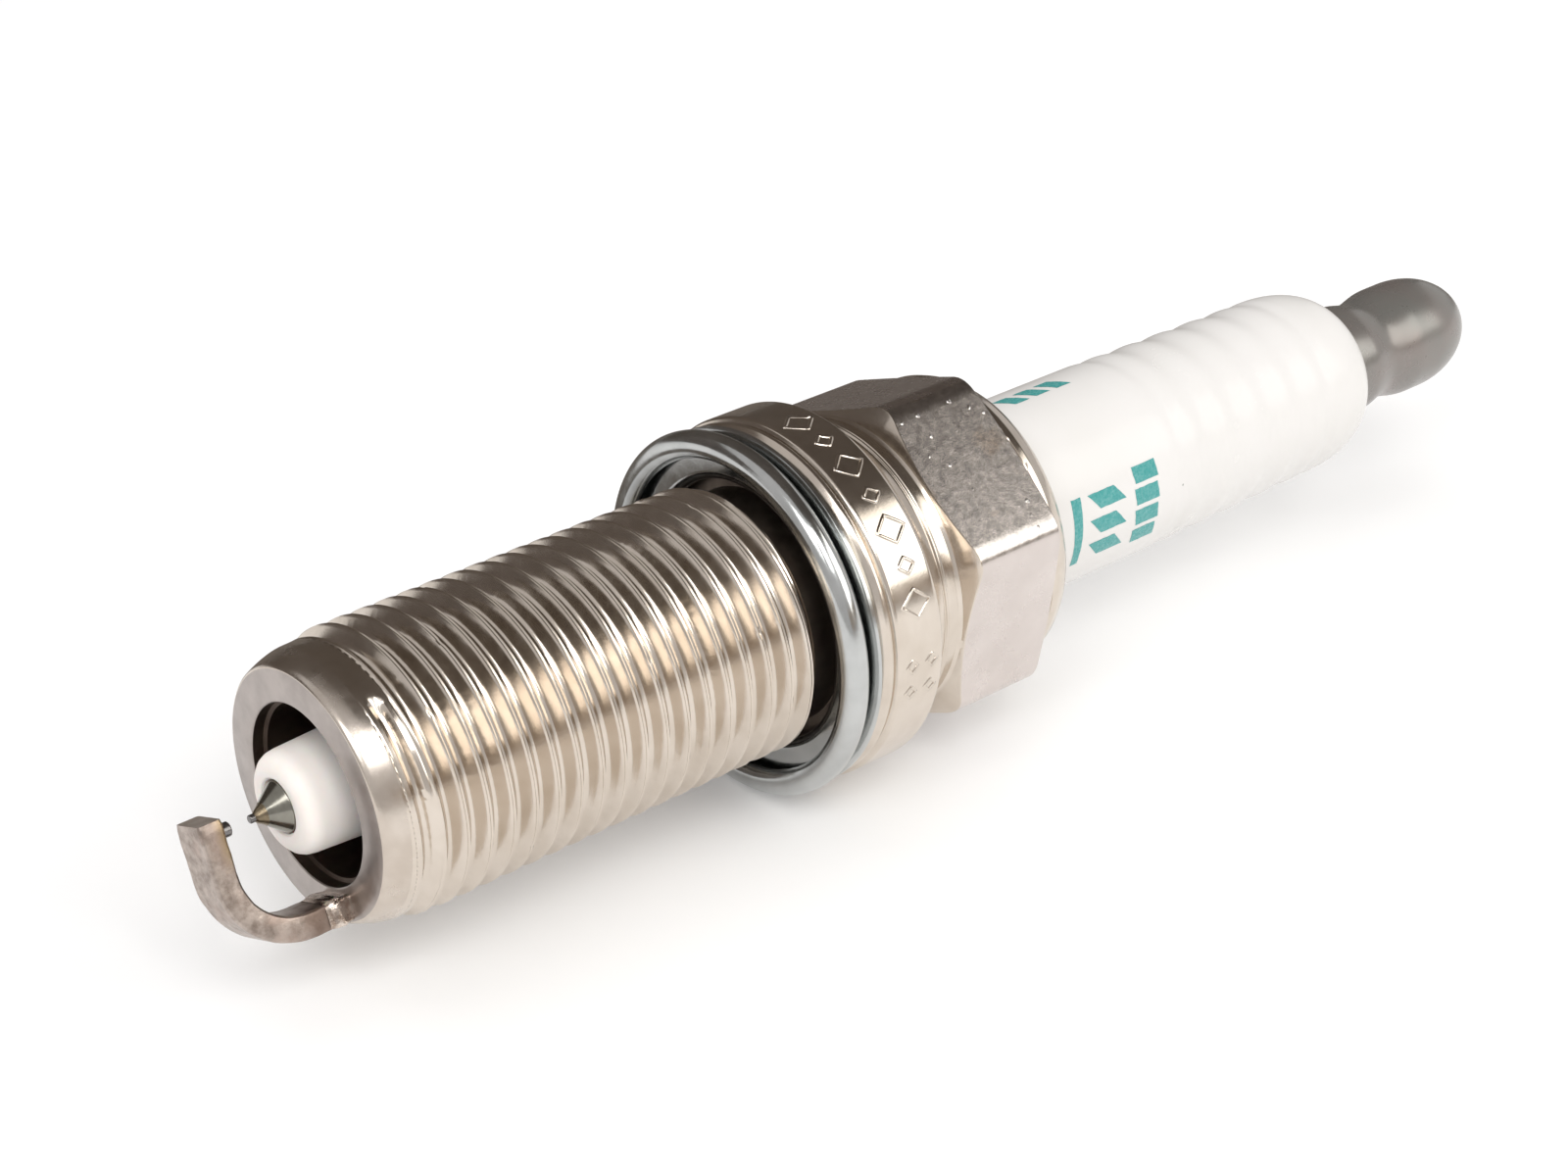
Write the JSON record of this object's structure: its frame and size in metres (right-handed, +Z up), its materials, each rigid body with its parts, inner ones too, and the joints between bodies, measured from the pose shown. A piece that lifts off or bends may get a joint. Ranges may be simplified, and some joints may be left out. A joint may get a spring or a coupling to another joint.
{
  "type": "spark plug",
  "caption": "Long-reach spark plug with a folded captive gasket, ribbed white insulator, barrel terminal, fine wire centre electrode and a single bent ground electrode",
  "frame": {"origin": "on the centre line, in the plane of the shell's gasket seat", "axes": "+X along the plug from the firing end to the terminal, +Z up, +Y across"},
  "size_m": [0.0854, 0.0188, 0.0188],
  "materials": {
    "plated_steel": "satin nickel plating",
    "gasket_steel": "satin zinc",
    "glazed_insulator": "glazed, bare at the firing end",
    "terminal_steel": "dark oxidised",
    "seal_glass": "fused metal and glass powder",
    "resistor_body": "carbon and glass powder",
    "electrode_alloy": "satin nickel alloy",
    "copper": "bare copper",
    "weld_metal": "rough weld",
    "noble_metal": "ground",
    "packing_steel": "bare",
    "talc": "pressed powder"
  },
  "bodies": {
    "plug": {"shell": "plated_steel", "insulator": "glazed_insulator", "terminal_post": "terminal_steel", "upper_glass_seal": "seal_glass", "resistor": "resistor_body", "lower_glass_seal": "seal_glass", "centre_electrode": "electrode_alloy", "electrode_copper_core": "copper", "tip_weld": "weld_metal", "iridium_tip": "noble_metal", "seat_packing": "packing_steel", "lower_wire_ring": "packing_steel", "upper_wire_ring": "packing_steel", "talc_filling": "talc", "ground_electrode": "electrode_alloy", "ground_electrode_weld": "weld_metal", "platinum_chip": "noble_metal", "chip_weld": "weld_metal"},
    "gasket_ring": {"gasket": "gasket_steel"}
  },
  "joints": [
    {"name": "gasket_float", "type": "slide", "parent": "plug", "child": "gasket_ring", "axis": [1, 0, 0], "range_m": [-0.0006, 0.0001]}
  ]
}
